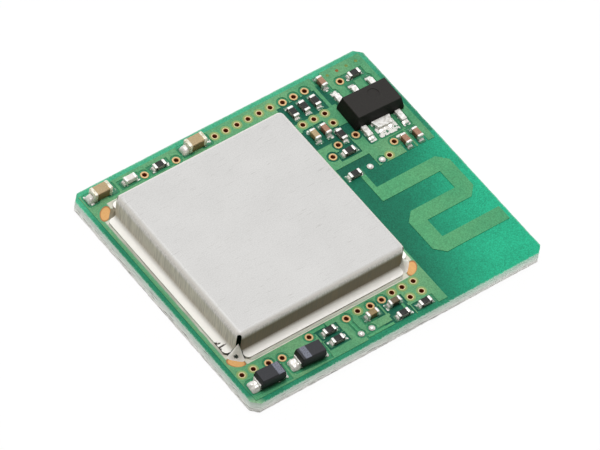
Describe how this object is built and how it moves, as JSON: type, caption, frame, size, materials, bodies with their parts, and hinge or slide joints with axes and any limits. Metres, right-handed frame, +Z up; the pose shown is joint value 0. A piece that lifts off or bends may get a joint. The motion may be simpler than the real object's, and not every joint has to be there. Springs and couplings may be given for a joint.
{
  "type": "bluetooth radio module",
  "caption": "Small green circuit board with a soldered sheet-metal shield can over its radio, a printed antenna at one end, a voltage regulator and chip parts along two edges.",
  "frame": {"origin": "centre of the board's underside", "axes": "+X along the board towards the antenna end, +Y across it towards the long row of vias, +Z up out of the side that carries the parts"},
  "size_m": [0.026, 0.0222, 0.0032],
  "materials": {
    "coated_laminate": "green solder-resist coat on glass-fibre laminate",
    "coated_copper": "green solder-resist coat over copper",
    "gold_plating": "thin gold plating on copper",
    "tinned_steel": "bright tinned sheet with fine rolling lines",
    "solder": "bright reflowed solder",
    "tinned_lead": "matt tin plating",
    "black_moulding": "matt moulded epoxy",
    "slate_moulding": "matt moulded epoxy with a pale polarity band",
    "tan_ceramic": "fired ceramic",
    "glazed_alumina": "white alumina with a black glaze on top",
    "pale_ceramic": "white fired ceramic",
    "crystal_case": "ceramic tub with a plated lid"
  },
  "bodies": {
    "root": {"board": "coated_laminate", "copper_pour": "coated_copper", "antenna_trace": "coated_copper", "signal_tracks": "coated_copper", "shield_land": "gold_plating", "via_barrels": "gold_plating", "underside_lands": "gold_plating", "shield_can": "tinned_steel", "component_pads": "solder", "shield_solder": "solder", "solder_joints": "solder", "radio_balls": "solder", "regulator_tab": "tinned_lead", "regulator_leads": "tinned_lead", "tantalum_terminals": "tinned_lead", "capacitor_terminals": "tinned_lead", "resistor_terminals": "tinned_lead", "inductor_terminals": "tinned_lead", "regulator_body": "black_moulding", "radio_chip": "black_moulding", "memory_chip": "black_moulding", "tantalum_1": "slate_moulding", "tantalum_2": "slate_moulding", "capacitor_1": "tan_ceramic", "capacitor_2": "tan_ceramic", "capacitor_3": "tan_ceramic", "capacitor_4": "tan_ceramic", "capacitor_5": "tan_ceramic", "capacitor_6": "tan_ceramic", "capacitor_7": "tan_ceramic", "capacitor_8": "tan_ceramic", "capacitor_9": "tan_ceramic", "inner_capacitors": "tan_ceramic", "resistor_1": "glazed_alumina", "resistor_2": "glazed_alumina", "resistor_3": "glazed_alumina", "resistor_4": "glazed_alumina", "resistor_5": "glazed_alumina", "resistor_6": "glazed_alumina", "resistor_7": "glazed_alumina", "resistor_8": "glazed_alumina", "resistor_9": "glazed_alumina", "resistor_10": "glazed_alumina", "resistor_11": "glazed_alumina", "resistor_12": "glazed_alumina", "inductor": "pale_ceramic", "band_filter": "pale_ceramic", "balun": "pale_ceramic", "crystal": "crystal_case"}
  },
  "joints": []
}
